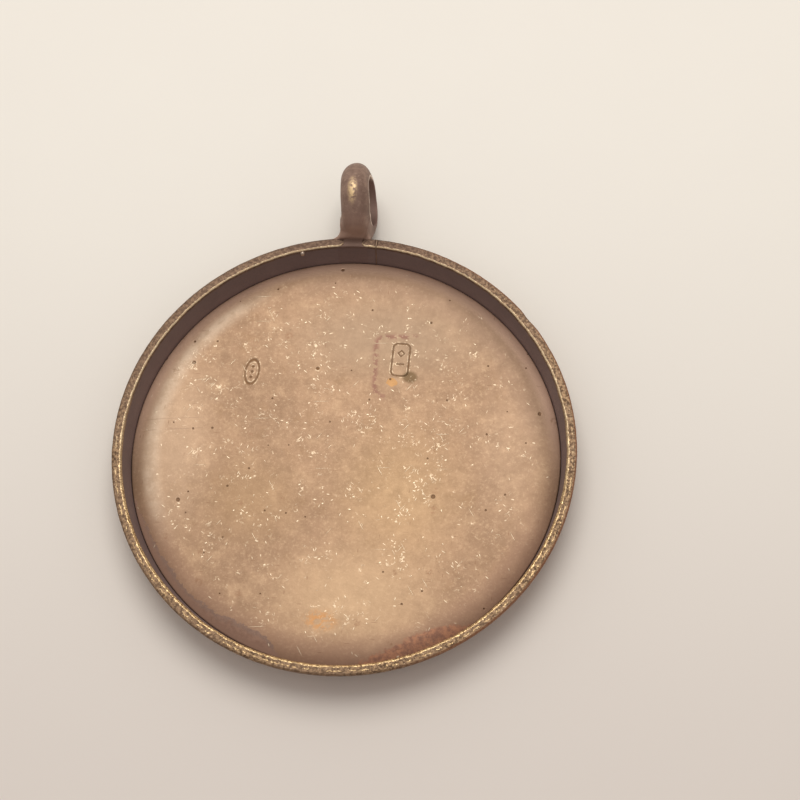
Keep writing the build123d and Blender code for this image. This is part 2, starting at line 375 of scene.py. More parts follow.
def side_band():
    """The bent strip: lip, drafted wall and turned-in foot, hand finished."""
    outline = band_outline()
    half_gap = SEAM_WIDTH / CASE_RADIUS / 2
    start, end = SEAM_ANGLE + half_gap, SEAM_ANGLE + 2 * math.pi - half_gap
    bail_zone = (math.radians(85), math.radians(95))
    step, fine = math.radians(BAND_TURN_STEP), math.radians(BAND_FINE_TURN_STEP)
    angles = graded(start, end, step, [bail_zone], fine)
    a, k = np.meshgrid(angles, np.arange(len(outline)), indexing="ij")
    r, z = outline[k, 0], outline[k, 1]
    round_trip = np.stack([np.cos(a) * r, np.sin(a) * r, z], -1)
    on_lip = np.clip((z - LIP_BOTTOM) / LIP_DEPTH, 0, 1)
    near_mouth = on_lip * np.clip(1 - (r - MOUTH_RADIUS) / (CASE_RADIUS - MOUTH_RADIUS), 0, 1)
    # uneven inside edge, fainter over the rest of the lip, and one knock on the outside
    chatter = ripple(round_trip, 0.9, seed=11) * 0.014 + ripple(round_trip, 0.35, seed=12) * 0.006
    sway = ripple(round_trip, 4.0, seed=13) * 0.012
    r = r + near_mouth * (chatter + sway) + 0.35 * on_lip * (1 - near_mouth) * chatter
    z = z + on_lip * ripple(round_trip, 0.6, seed=14) * 0.006
    knock = np.exp(-(((a - NICK_ANGLE - 2 * math.pi) * CASE_RADIUS / NICK_WIDTH) ** 2))
    r = r - NICK_DEPTH * knock * np.clip((r - CASE_RADIUS + 0.25) / 0.25, 0, 1)
    # the lip's ends turn back on both sides of the bail's neck
    x = r * np.cos(a)
    high = np.clip((z - NOTCH_BOTTOM) / 0.05, 0, 1)
    beside = (np.sin(a) > 0) & (np.abs(x) < NECK_HALF_WIDTH + LIP_END_RADIUS)
    share = (r - MOUTH_RADIUS) / (CASE_RADIUS - MOUTH_RADIUS)
    turned_back = lip_end(x) + share * (CASE_RADIUS - lip_end(x))
    r = np.where(beside, r + high * np.clip(turned_back - r, 0, 1), r)
    vertices = np.stack([r * np.cos(a), r * np.sin(a), z], -1)
    rows, columns = r.shape
    index = np.arange(rows * columns).reshape(rows, columns)
    ahead = np.roll(index, -1, axis=1)
    quads = np.stack([index[:-1], ahead[:-1], ahead[1:], index[1:]], -1).reshape(-1, 4)
    faces = quads.tolist() + [index[0][::-1].tolist(), index[-1].tolist()]
    true_r, true_z = outline[k, 0], outline[k, 1]
    inside = (true_r < SEAT_RADIUS + STRIP_THICKNESS) & (true_r < wall_radius(true_z) + 0.02)
    inside &= (true_z < CASE_HEIGHT - EDGE_BEVEL - 0.01) & (true_z > 0.5)
    attributes = {"inside": inside.astype(float).ravel(), "across": (true_r - MOUTH_RADIUS).ravel()}
    return mesh_object("side_strip", vertices.reshape(-1, 3), faces, attributes)


# ---------------------------------------------------------------- bail and solder


def eye_coordinates(p):
    """Distance along the bail's hole from its middle, and distance from the hole's axis."""
    d = p - EYE_CENTRE
    along = d @ EYE_AXIS
    radius = np.sqrt(np.maximum((d**2).sum(-1) - along**2, 0))
    return along, radius


def ease(value, low, high):
    """Smooth step from 0 at low to 1 at high; low may exceed high."""
    t = np.clip((value - low) / (high - low), 0, 1)
    return t * t * (3 - 2 * t)


def ring_field(p):
    """The half-round band of the bail, flat side in, fuller at its root and on the left there."""
    along, radius = eye_coordinates(p)
    root = ease(p[..., 1], EYE_CENTRE[1] - 0.7, EYE_CENTRE[1] - 2.3)
    power = 2.0 + 1.0 * root
    across = np.abs(radius - EYE_RADIUS) / BAIL_WALL
    half_width = BAIL_HALF_WIDTH + root * np.where(along < 0, 0.17, -0.24)
    sideways = np.abs(along) / half_width
    crown = ((across**power + sideways**power) ** (1 / power) - 1) * BAIL_HALF_WIDTH
    return smooth_max(crown, EYE_RADIUS - radius, 0.07)


def neck_half_width(y):
    """Half width of the gap between the lip's turned-back ends."""
    flare = np.clip(MOUTH_RADIUS + LIP_END_RADIUS - y, 0, LIP_END_RADIUS)
    return NECK_HALF_WIDTH + LIP_END_RADIUS - np.sqrt(LIP_END_RADIUS**2 - flare**2)


def inside_wall(p):
    """How far a point lies inside the band's inner wall."""
    return wall_radius(p[..., 2]) - WALL_OVERLAP - np.hypot(p[..., 0], p[..., 1])


def foot_limit(p):
    """Positive in the lip's ends, beside the neck: keeps the bail's blend out of them."""
    x, y, z = p[..., 0], p[..., 1], p[..., 2]
    beyond = np.abs(x) - neck_half_width(y) - 0.03
    return np.minimum(beyond, np.minimum(CASE_RADIUS - 0.1 - y, CASE_HEIGHT - 0.02 - z))


def foot_field(p):
    """The neck between the lip's turned-back ends, rising outwards to the ring."""
    x, y, z = p[..., 0], p[..., 1], p[..., 2]
    half_width = neck_half_width(y)
    outside = ease(y, CASE_RADIUS - 0.15, CASE_RADIUS + 0.5)
    left = -half_width - NECK_EDGE - 0.06 * outside
    right = half_width + NECK_EDGE + 0.26 * outside
    sides = np.maximum(left - x, x - right)
    span = np.maximum(y - EYE_CENTRE[1] + EYE_RADIUS, inside_wall(p))
    rise = 0.65 * ease(y, CASE_RADIUS - 0.35, CASE_RADIUS + 0.55)
    upright = np.maximum(z - CASE_HEIGHT + 0.03 - rise, NECK_BOTTOM - z)
    return smooth_max(np.maximum(sides, span), upright, 0.08)


def bail_field(p):
    """Ring and foot run into each other, with the hole kept open."""
    joined = smooth_min(ring_field(p), foot_field(p), 0.55)
    flush = np.maximum(inside_wall(p), foot_limit(p))
    radius = eye_coordinates(p)[1]
    clogged = 0.13 * ease(p[..., 1], EYE_CENTRE[1] - 0.8, EYE_CENTRE[1] - EYE_RADIUS)
    bored = smooth_max(np.maximum(joined, flush), EYE_RADIUS - clogged - radius, 0.05)
    return bored + 0.01 * ripple(p, 1.6, seed=21) * ease(p[..., 1], CASE_RADIUS, CASE_RADIUS + 0.6)


def polygon_field(u, v, outline):
    """Signed distance to a closed outline."""
    nearest = np.full(u.shape, 1e9)
    inside = np.zeros(u.shape, bool)
    for i in range(len(outline)):
        (ax, ay), (bx, by) = outline[i - 1], outline[i]
        ex, ey = bx - ax, by - ay
        t = np.clip(((u - ax) * ex + (v - ay) * ey) / (ex * ex + ey * ey + 1e-12), 0, 1)
        nearest = np.minimum(nearest, np.hypot(u - ax - t * ex, v - ay - t * ey))
        crosses = ((ay > v) != (by > v)) & (u < ex * (v - ay) / (by - ay + 1e-12) + ax)
        inside ^= crosses
    return np.where(inside, -nearest, nearest)


def band_field(p):
    """Distance to the side band as a full ring."""
    outline = [
        (SEAT_RADIUS, 0.1),
        (SEAT_RADIUS + 0.2, 0.15),
        lip_root(),
        (CASE_RADIUS, LIP_BOTTOM),
        (CASE_RADIUS - 0.03, CASE_HEIGHT - 0.06),
        (MOUTH_RADIUS + 0.1, CASE_HEIGHT - 0.06),
    ]
    return polygon_field(np.hypot(p[..., 0], p[..., 1]), p[..., 2], outline)


def solder_field(p, side):
    """Solder drawn into the corner between the bail's foot and the band, on one side."""
    bail, band = bail_field(p), band_field(p)
    filled = smooth_min(bail, band, SOLDER_REACH[side]) + 0.006
    outside = CASE_RADIUS - 0.17 - np.hypot(p[..., 0], p[..., 1])
    shape = smooth_max(filled, outside, 0.2)
    shape = np.maximum(shape, -(bail + 0.05))
    shape = np.maximum(shape, -(band + 0.05))
    return np.maximum(shape, -side * p[..., 0])


def bead_field(p):
    """A stray bead of solder that hangs on the mouth's edge."""
    centre, radius = (bead_low + bead_high) / 2, (bead_high[2] - bead_low[2]) / 2
    d = np.linalg.norm((p - centre) * np.array([1.0, 1.0, 0.9]), axis=-1) - radius
    return d + 0.012 * ripple(p, 0.5, seed=31)


def bail_piece():
    """The bail, with its hole's wall and its worn inside edges marked for the material."""
    low, high = bail_low - CARVE_MARGIN, bail_high + CARVE_MARGIN
    piece = carve("bail_ring", bail_field, low, high, BAIL_CELL)
    points = np.empty(len(piece.data.vertices) * 3)
    piece.data.vertices.foreach_get("co", points)
    along, radius = eye_coordinates(points.reshape(-1, 3) / MM)
    bore = ease(radius, EYE_RADIUS + 0.1, EYE_RADIUS + 0.03)
    edge = np.exp(-(((radius - EYE_RADIUS - 0.07) / 0.06) ** 2)) * ease(np.abs(along), 0.66, 0.8)
    for key, values in (("bore", bore), ("edge", edge)):
        layer = piece.data.attributes.new(key, "FLOAT", "POINT")
        layer.data.foreach_set("value", values.astype(np.float32))
    return piece


def solder_piece(side):
    """The fillet on the left (-1) or the right (1) of the bail's foot."""
    name = "solder_fillet_left" if side < 0 else "solder_fillet_right"
    from_x, to_x = sorted((-side * SOLDER_PAST_MIDDLE, side * SOLDER_HALF_WIDTH))
    low = (from_x, SOLDER_FROM, SOLDER_BOTTOM)
    high = (to_x, SOLDER_TO, CASE_HEIGHT + SOLDER_RISE)
    return carve(name, lambda p: solder_field(p, side), low, high, SOLDER_CELL)


def bead_piece():
    """The stray bead, from a little outside its box in the CAD model."""
    low, high = bead_low - BEAD_MARGIN, bead_high + BEAD_MARGIN
    return carve("stray_bead", bead_field, low, high, BEAD_CELL)


# ---------------------------------------------------------------- material tools


class Shader:
    """A few short ways to add and link shader nodes."""

    def __init__(self, name):
        self.material = bpy.data.materials.new(name)
        self.material.use_nodes = True
        self.tree = self.material.node_tree
        self.surface = next(n for n in self.tree.nodes if n.type == "BSDF_PRINCIPLED")
        place = self.node("ShaderNodeTexCoord")
        scaled = self.node("ShaderNodeVectorMath", operation="SCALE")
        scaled.inputs["Scale"].default_value = 1 / MM
        self.link(place.outputs["Object"], scaled.inputs[0])
        self.mm = scaled.outputs[0]

    def node(self, kind, **settings):
        node = self.tree.nodes.new(kind)
        for key, value in settings.items():
            setattr(node, key, value)
        return node

    def link(self, source, target):
        if hasattr(source, "is_linked"):
            self.tree.links.new(source, target)
        else:
            target.default_value = source

    def math(self, operation, a, b=0.0):
        node = self.node("ShaderNodeMath", operation=operation)
        self.link(a, node.inputs[0])
        self.link(b, node.inputs[1])
        return node.outputs[0]

    def between(self, value, low, high):
        """0 below low, 1 above high, smooth in between; low may exceed high."""
        node = self.node("ShaderNodeMapRange", interpolation_type="SMOOTHSTEP")
        self.link(value, node.inputs["Value"])
        node.inputs["From Min"].default_value = min(low, high)
        node.inputs["From Max"].default_value = max(low, high)
        rising = node.outputs[0]
        return rising if low < high else self.math("SUBTRACT", 1.0, rising)

    def times(self, *values):
        return functools.reduce(functools.partial(self.math, "MULTIPLY"), values)

    def most(self, *values):
        return functools.reduce(functools.partial(self.math, "MAXIMUM"), values)

    def swing(self, value, amount):
        """A noise, centred on 0 and scaled."""
        return self.math("MULTIPLY", self.math("SUBTRACT", value, 0.5), amount)

    def noise(self, size, detail=2.0, roughness=0.5, seed=0.0, distortion=0.0):
        """Noise with features of about the given size in millimetres."""
        shifted = self.node("ShaderNodeVectorMath", operation="ADD")
        self.link(self.mm, shifted.inputs[0])
        shifted.inputs[1].default_value = (seed * 17.3, seed * 9.1, seed * 5.7)
        node = self.node("ShaderNodeTexNoise")
        node.inputs["Scale"].default_value = 1.0 / size
        node.inputs["Detail"].default_value = detail
        node.inputs["Roughness"].default_value = roughness
        node.inputs["Distortion"].default_value = distortion
        self.link(shifted.outputs[0], node.inputs["Vector"])
        return node.outputs["Fac"]

    def grain(self, size, detail, roughness, seed, low, high):
        """Noise cut into patches with soft edges."""
        return self.between(self.noise(size, detail, roughness, seed), low, high)

    def mix(self, factor, a, b):
        node = self.node("ShaderNodeMix", data_type="RGBA")
        self.link(factor, node.inputs["Factor"])
        for value, socket in ((a, node.inputs[6]), (b, node.inputs[7])):
            self.link(value if hasattr(value, "is_linked") else (*value, 1.0), socket)
        return node.outputs[2]

    def paint(self, base, colour, *masks):
        """The base with a colour laid over it, as strongly as the masks' product."""
        return self.mix(self.times(*masks), base, colour)

    def blend(self, factor, a, b):
        """Number between a and b."""
        node = self.node("ShaderNodeMix", data_type="FLOAT")
        self.link(factor, node.inputs["Factor"])
        self.link(a, node.inputs[2])
        self.link(b, node.inputs[3])
        return node.outputs[0]

    def attribute(self, name):
        return self.node("ShaderNodeAttribute", attribute_name=name).outputs["Fac"]

    def axis(self, index):
        split = self.node("ShaderNodeSeparateXYZ")
        self.link(self.mm, split.inputs[0])
        return split.outputs[index]

    def radius(self):
        """Distance from the case's axis in millimetres."""
        flat = self.node("ShaderNodeVectorMath", operation="MULTIPLY")
        self.link(self.mm, flat.inputs[0])
        flat.inputs[1].default_value = (1, 1, 0)
        length = self.node("ShaderNodeVectorMath", operation="LENGTH")
        self.link(flat.outputs[0], length.inputs[0])
        return length.outputs["Value"]

    def patch(self, centre, size, soft=0.5):
        """1 in a soft ellipse about a place on the floor, 0 outside it."""
        shifted = self.node("ShaderNodeVectorMath", operation="SUBTRACT")
        self.link(self.mm, shifted.inputs[0])
        shifted.inputs[1].default_value = (*centre, 0)
        scaled = self.node("ShaderNodeVectorMath", operation="MULTIPLY")
        self.link(shifted.outputs[0], scaled.inputs[0])
        scaled.inputs[1].default_value = (1 / size[0], 1 / size[1], 0)
        length = self.node("ShaderNodeVectorMath", operation="LENGTH")
        self.link(scaled.outputs[0], length.inputs[0])
        return self.between(length.outputs["Value"], 1.0, 1.0 - soft)

    def cells(self, scale, seed, degrees=0.0):
        """Distance to a random point, and a random colour, in each cell of a flat pattern."""
        turned_round = self.node("ShaderNodeVectorRotate", rotation_type="Z_AXIS")
        self.link(self.mm, turned_round.inputs["Vector"])
        turned_round.inputs["Angle"].default_value = math.radians(degrees)
        scaled = self.node("ShaderNodeVectorMath", operation="MULTIPLY")
        self.link(turned_round.outputs[0], scaled.inputs[0])
        scaled.inputs[1].default_value = (scale[0], scale[1], 0)
        shifted = self.node("ShaderNodeVectorMath", operation="ADD")
        self.link(scaled.outputs[0], shifted.inputs[0])
        shifted.inputs[1].default_value = (seed * 3.7, seed * 11.9, 0)
        voronoi = self.node("ShaderNodeTexVoronoi", voronoi_dimensions="2D")
        voronoi.inputs["Scale"].default_value = 1.0
        self.link(shifted.outputs[0], voronoi.inputs["Vector"])
        split = self.node("ShaderNodeSeparateColor")
        self.link(voronoi.outputs["Color"], split.inputs[0])
        return voronoi.outputs["Distance"], split.outputs[0], split.outputs[1]

    def scratches(self, degrees, length, width, seed, share, density=1.0):
        """Short straight scratches in one direction, in a share of the cells."""
        distance, chance, size = self.cells((0.3 / length, 0.3 / width), seed, degrees)
        line = self.between(distance, 0.17, 0.07)
        threshold = self.math("SUBTRACT", 1.0, self.math("MULTIPLY", density, share))
        chosen = self.math("GREATER_THAN", chance, threshold)
        return self.times(line, chosen, self.blend(size, 0.45, 1.0))

    def dots(self, spacing, size, seed, share):
        """Small round spots, in a share of the cells; spacing and size in millimetres."""
        distance, chance, grade = self.cells((1 / spacing, 1 / spacing), seed)
        reach = self.math("MULTIPLY", self.blend(grade, 0.55, 1.0), size / spacing)
        spot = self.between(self.math("DIVIDE", distance, reach), 1.0, 0.45)
        return self.times(spot, self.math("GREATER_THAN", chance, 1 - share))

    def hairs(self, size, width, seed):
        """Curled hairline scuffs: contour lines of a noise."""
        value = self.noise(size, detail=1.5, roughness=0.6, seed=seed, distortion=0.6)
        away = self.math("ABSOLUTE", self.math("SUBTRACT", value, 0.5))
        return self.between(away, width, width * 0.3)

    def bump(self, height, distance, previous=None, strength=1.0):
        node = self.node("ShaderNodeBump")
        node.inputs["Strength"].default_value = strength
        node.inputs["Distance"].default_value = distance * MM
        self.link(height, node.inputs["Height"])
        if previous is not None:
            self.link(previous, node.inputs["Normal"])
        return node.outputs[0]

    def finish(self, colour, roughness, metallic, normal=None):
        self.link(colour, self.surface.inputs["Base Color"])
        self.link(roughness, self.surface.inputs["Roughness"])
        self.link(metallic, self.surface.inputs["Metallic"])
        if normal is not None:
            self.link(normal, self.surface.inputs["Normal"])
        return self.material


# ---------------------------------------------------------------- materials


def floor_base(s):
    """The bare sheet: cloudy and grainy, lighter or browner in broad patches."""
    base = s.mix(s.grain(4.5, 3, 0.55, 1, 0.35, 0.68), (0.305, 0.186, 0.109), (0.375, 0.232, 0.137))
    cloud = s.noise(1.5, 4, 0.62, seed=2)
    base = s.paint(base, (0.475, 0.31, 0.185), s.between(cloud, 0.5, 0.72), 0.5)
    base = s.paint(base, (0.29, 0.17, 0.088), s.between(cloud, 0.45, 0.28), 0.5)
    tooth = s.noise(0.2, 3, 0.7, seed=3)
    base = s.paint(base, (0.54, 0.37, 0.23), s.between(tooth, 0.5, 0.72), 0.45)
    base = s.paint(base, (0.25, 0.148, 0.08), s.between(tooth, 0.46, 0.28), 0.45)
    broad_patches = (
        ((3.4, -2.6), (5.5, 6.5), 0.42, (0.50, 0.325, 0.165)),
        ((0.8, -8.8), (6.8, 4.3), 0.58, (0.57, 0.385, 0.225)),
        ((-10.5, 0.8), (3.4, 8.5), 0.5, (0.57, 0.395, 0.26)),
        ((10.2, 0.5), (3.2, 8.0), 0.22, (0.56, 0.385, 0.255)),
        ((2.5, 7.8), (9.0, 4.2), 0.75, (0.325, 0.222, 0.142)),
        ((-5.5, -3.0), (4.5, 4.0), 0.45, (0.40, 0.25, 0.13)),
    )
    for centre, size, amount, colour in broad_patches:
        base = s.paint(base, colour, s.patch(centre, size, 0.9), amount)
    return base


def floor_margin(s, base, x, y, radius):
    """Patina, painted shade and painted light at the floor's margin; also returns where the grey patina is.

    angle is 0 at +X and from_left is 0 at -X, both in radians.
    """
    angle = s.math("ARCTAN2", y, x)
    from_left = s.math("ARCTAN2", s.math("MULTIPLY", y, -1.0), s.math("MULTIPLY", x, -1.0))
    speckle = s.swing(s.noise(0.28, 3, 0.75, seed=4), 0.8)
    wander = s.swing(s.noise(1.6, 2, 0.5, seed=5), 0.5)
    edge = s.math("ADD", radius, s.math("ADD", speckle, wander))
    # brown patina and painted shade along the margin, left off at the lit upper left and at the lower left
    lit_side = s.times(s.between(from_left, -1.24, -0.8), s.between(from_left, 0.55, 0.15))
    margin = s.times(s.between(edge, FLOOR_RADIUS - 0.9, FLOOR_RADIUS - 0.05), s.blend(lit_side, 1.0, 0.1))
    margin = s.times(margin, s.blend(s.between(angle, -1.6, -1.9), 1.0, 0.15))
    base = s.paint(base, (0.24, 0.135, 0.088), margin, 0.42)
    # painted shade over the upper right of the floor towards its edge
    far_right_shade = s.times(s.between(radius, 10.2, 11.7), s.between(x, -5.5, -1.0), s.between(y, -1.0, 3.0))
    base = s.paint(base, (0.235, 0.148, 0.10), far_right_shade, 0.42)
    # a lighter, pinker band on the near-side shoulder: the sheet's pink tone and painted light lifting the
    # shoulder's shade
    near_side = s.times(s.between(radius, 11.0, 12.3), s.between(y, -1.0, -6.0))
    base = s.paint(base, (0.50, 0.295, 0.20), near_side, 0.4)
    # painted light: a pale arc on the lit upper left, and a pale edge under the far wall that lifts the
    # wall's shadow
    painted_crescent_light = s.times(lit_side, s.between(radius, 11.0, 11.9), s.between(radius, 12.6, 12.0))
    broken = s.blend(s.grain(0.7, 4, 0.65, 22, 0.35, 0.62), 0.55, 1.0)
    base = s.paint(base, (0.74, 0.58, 0.43), painted_crescent_light, broken, 0.55)
    # painted light along the edge under the far wall, lifting the wall's shadow there
    painted_light_under_wall = s.times(s.between(radius, 12.0, 12.95), s.between(y, -3.0, 5.0))
    base = s.paint(base, (0.85, 0.57, 0.42), painted_light_under_wall, 0.7)
    # grey patina along the lower left, wider at its lower end
    long_side = s.math("MULTIPLY", s.between(angle, -3.07, -2.6), 0.68)
    swell = s.math("MULTIPLY", s.between(angle, -2.4, -2.06), 0.40)
    inset = s.math("MULTIPLY", s.math("ADD", long_side, swell), s.between(angle, -1.78, -1.95))
    grey_edge = s.math("ADD", edge, s.math("SUBTRACT", inset, 0.12))
    grey = s.between(grey_edge, FLOOR_RADIUS - 0.03, FLOOR_RADIUS + 0.03)
    fringe = s.between(grey_edge, FLOOR_RADIUS + 0.35, FLOOR_RADIUS + 0.05)
    tint = s.mix(s.grain(0.3, 3, 0.7, 18, 0.35, 0.65), (0.33, 0.198, 0.139), (0.40, 0.247, 0.177))
    tint = s.paint(tint, (0.30, 0.22, 0.18), fringe, 0.5)
    # painted light on the patina's outer band next to the wall, lifting the shade there
    tint = s.paint(tint, (0.39, 0.24, 0.172), s.between(radius, 12.55, 12.95))
    base = s.paint(base, tint, grey, 0.93)
    # red patina at the lower right
    red_zone = s.times(s.between(angle, -1.62, -1.2), s.between(angle, -0.82, -1.12))
    red_edge = s.math("ADD", edge, s.blend(red_zone, -0.3, 0.95))
    red = s.between(red_edge, FLOOR_RADIUS - 0.12, FLOOR_RADIUS + 0.12)
    tint = s.mix(s.grain(0.33, 4, 0.7, 6, 0.35, 0.65), (0.29, 0.14, 0.092), (0.54, 0.255, 0.142))
    return s.paint(base, tint, red, 0.85), grey


def floor_stains(s, base, groove):
    """Dirt in and round the struck marks, a painted highlight on their burrs, rust, stains and pits; also
    returns the pits.
    """
    faded = s.blend(s.grain(0.35, 3, 0.65, 20, 0.38, 0.56), 0.3, 0.95)
    base = s.paint(base, (0.25, 0.11, 0.03), groove, faded, 0.8)
    # painted highlight on the raised burrs beside the struck lines
    base = s.paint(base, (0.78, 0.60, 0.40), s.attribute("burr"), s.grain(0.3, 3, 0.65, 21, 0.48, 0.6), 0.8)
    base = s.paint(base, (0.23, 0.11, 0.075), s.attribute("ghost"), s.grain(0.42, 3, 0.6, 7, 0.46, 0.53), 0.9)
    smear = s.times(s.patch((3.8, 5.1), (0.6, 0.5), 0.5), s.grain(0.35, 2, 0.6, 8, 0.15, 0.32))
    base = s.paint(base, (0.145, 0.085, 0.035), smear, 0.9)
    ragged = s.math("MULTIPLY", s.noise(0.3, 3, 0.6, seed=9), 0.9)
    fleck = s.between(s.math("ADD", s.patch((2.7, 4.72), (0.6, 0.5), 1.0), ragged), 0.86, 0.93)
    base = s.paint(base, (0.45, 0.235, 0.085), fleck, 0.85)
    rust = s.times(s.patch((-1.0, -10.4), (1.4, 0.9), 0.8), s.grain(0.35, 3, 0.7, 11, 0.42, 0.56))
    base = s.paint(base, (0.52, 0.255, 0.095), rust, 0.9)
    stains = s.times(s.dots(2.3, 0.36, 5, 0.2), s.grain(0.2, 3, 0.7, 12, 0.4, 0.6))
    base = s.paint(base, (0.26, 0.13, 0.065), stains, 0.5)
    pits = s.most(s.dots(3.1, 0.17, 3, 0.16), s.dots(1.2, 0.085, 4, 0.1))
    base = s.paint(base, (0.14, 0.065, 0.025), pits, 0.85)
    ticks = s.most(s.scratches(95, 0.3, 0.06, 10, 0.02), s.scratches(2, 0.45, 0.045, 9, 0.03))
    return s.paint(base, (0.22, 0.11, 0.055), ticks, 0.6), pits


def floor_scuffs(s, radius):
    """Bright flecks, scratches and curled hairlines, crowded in a few places."""
    crowd = s.grain(1.7, 4, 0.7, 13, 0.42, 0.68)
    clear = s.blend(s.between(radius, 12.6, 10.8), 0.15, 1.0)
    busy = s.most(
        s.patch((2.6, -4.8), (5.5, 5.0), 0.8),
        s.patch((-8.8, 5.2), (2.2, 1.4), 0.7),
        s.patch((-2.4, 5.6), (1.4, 1.6), 0.7),
        s.patch((1.6, 4.6), (1.2, 2.6), 0.7),
    )
    density = s.times(s.blend(crowd, 0.12, 2.6), clear, s.blend(busy, 0.65, 1.7))
    # degrees, length and width in millimetres, share of the cells
    kinds = (
        (8, 0.22, 0.085, 0.06),
        (38, 0.3, 0.06, 0.05),
        (71, 0.2, 0.07, 0.06),
        (112, 0.26, 0.055, 0.05),
        (149, 0.18, 0.10, 0.05),
        (60, 0.75, 0.035, 0.025),
        (131, 0.6, 0.035, 0.025),
        (178, 1.1, 0.03, 0.02),
    )
    flecks = [
        s.scratches(degrees, length, width, seed, share, density)
        for seed, (degrees, length, width, share) in enumerate(kinds, 1)
    ]
    dust = s.times(s.dots(0.26, 0.08, 6, 0.5), s.between(crowd, 0.35, 0.95), clear, s.blend(busy, 0.5, 1.0))
    hair_zone = s.grain(0.6, 2, 0.5, 14, 0.55, 0.62)
    hairs = s.times(s.hairs(0.42, 0.035, 15), hair_zone, s.between(crowd, 0.1, 0.7), clear)
    return s.most(*flecks, s.times(hairs, 0.6), s.times(dust, 0.55))


def drawn_lines(s, x, y):
    """Two long parallel scratches near the left margin."""
    off_line = s.math("ABSOLUTE", s.math("SUBTRACT", y, s.math("ADD", 2.35, s.math("MULTIPLY", x, 0.045))))
    off_pair = s.math("ABSOLUTE", s.math("SUBTRACT", off_line, 0.35))
    span = s.times(s.between(x, -8.4, -9.2), s.between(x, -12.6, -12.1))
    return s.times(s.between(off_pair, 0.035, 0.01), span, s.grain(0.8, 3, 0.6, 19, 0.35, 0.5))


def floor_metal():
    """Rose-gold coloured sheet: matt, scuffed, pitted, with patina, painted shade and painted light at its
    margin.
    """
    s = Shader("floor_metal")
    x, y, radius = s.axis(0), s.axis(1), s.radius()
    groove = s.attribute("groove")
    base, grey = floor_margin(s, floor_base(s), x, y, radius)
    base, pits = floor_stains(s, base, groove)
    lines = floor_scuffs(s, radius)
    colour = s.paint(base, (0.84, 0.69, 0.49), lines, 0.85)
    colour = s.paint(colour, (0.30, 0.19, 0.13), drawn_lines(s, x, y), 0.45)
    roughness = s.blend(s.noise(0.7, 3, 0.6, seed=16), 0.42, 0.6)
    roughness = s.blend(s.most(grey, groove), roughness, 0.75)
    roughness = s.blend(lines, roughness, 0.35)
    normal = s.bump(s.noise(0.13, 3, 0.7, seed=17), 0.008, strength=0.6)
    normal = s.bump(s.math("SUBTRACT", lines, s.times(pits, 4.0)), 0.012, previous=normal, strength=0.6)
    return s.finish(colour, roughness, 0.6, normal)


def lip_colour(s, x, y, z, radius, mottle):
    """Worn lip: brown and mottled, gold where it is rubbed; also returns the rubbed part."""
    lip = s.mix(mottle, (0.105, 0.060, 0.032), (0.31, 0.196, 0.107))
    lip = s.paint(lip, (0.22, 0.14, 0.09), s.grain(2.5, 2, 0.5, 2, 0.38, 0.62), 0.4)
    lip = s.paint(lip, (0.66, 0.49, 0.33), s.grain(0.1, 2, 0.6, 3, 0.6, 0.68), 0.5)
    far_side = s.between(s.math("SUBTRACT", y, s.math("MULTIPLY", x, 0.25)), 1.0, 11.5)
    lip = s.paint(lip, (0.13, 0.078, 0.056), far_side, 0.55)
    lip = s.paint(lip, (0.10, 0.058, 0.04), s.between(y, 12.8, 13.4), 0.5)
    rusty = s.times(s.between(radius, CASE_RADIUS - 0.14, CASE_RADIUS - 0.03), s.between(x, 2, 8))
    lip = s.paint(lip, (0.30, 0.13, 0.065), rusty, 0.7)
    # gold line along the inside edge, doubled and ragged on the near side
    near_side = s.between(y, 5.0, -5.0)
    dull = s.mix(near_side, (0.78, 0.565, 0.335), (0.28, 0.155, 0.064))
    bright = s.mix(near_side, (0.97, 0.79, 0.51), (0.90, 0.66, 0.34))
    gold = s.mix(s.grain(0.1, 3, 0.72, 4, 0.42, 0.58), dull, bright)
    across = s.attribute("across")
    jitter = s.swing(s.noise(0.22, 3, 0.7, seed=5), 0.34)
    ragged = s.math("ADD", across, s.math("MULTIPLY", jitter, s.blend(near_side, 0.25, 0.9)))
    reach = s.math("ADD", 0.115, s.math("MULTIPLY", near_side, 0.03))
    rub = s.between(s.math("SUBTRACT", ragged, reach), 0.03, -0.03)
    rub = s.times(rub, s.between(z, CASE_HEIGHT - 0.3, CASE_HEIGHT - 0.12))
    rub = s.times(rub, s.most(near_side, s.between(across, 0.03, 0.06)))
    off_second = s.math("ABSOLUTE", s.math("SUBTRACT", ragged, 0.36))
    second = s.times(s.between(off_second, 0.05, 0.015), near_side, s.grain(0.5, 3, 0.6, 10, 0.47, 0.57))
    rub = s.most(rub, s.times(second, 0.85))
    return s.paint(lip, gold, rub, 0.9), rub


def band_metal():
    """Side band: burnished inside edge, mottled worn lip, dark inner wall, brown outside."""
    s = Shader("band_metal")
    x, y, z, radius = s.axis(0), s.axis(1), s.axis(2), s.radius()
    mottle = s.grain(0.2, 4, 0.72, 1, 0.4, 0.6)
    lip, rub = lip_colour(s, x, y, z, radius, mottle)
    inside = s.attribute("inside")
    wall = s.mix(s.noise(1.5, 3, 0.6, seed=6), (0.155, 0.112, 0.105), (0.215, 0.155, 0.145))
    colour = s.mix(inside, lip, wall)
    outer = s.between(z, LIP_BOTTOM, LIP_BOTTOM - 0.2)
    outer = s.times(outer, s.math("SUBTRACT", 1.0, inside))
    patina = s.mix(s.grain(1.2, 4, 0.6, 7, 0.35, 0.7), (0.24, 0.14, 0.085), (0.42, 0.27, 0.165))
    colour = s.mix(outer, colour, patina)
    roughness = s.blend(rub, s.blend(mottle, 0.62, 0.48), 0.34)
    roughness = s.blend(inside, roughness, 0.6)
    normal = s.bump(s.noise(0.17, 4, 0.7, seed=8), 0.025, strength=0.7)
    normal = s.bump(s.noise(0.07, 2, 0.6, seed=9), 0.014, previous=normal, strength=0.6)
    return s.finish(colour, roughness, s.blend(inside, 0.7, 0.25), normal)


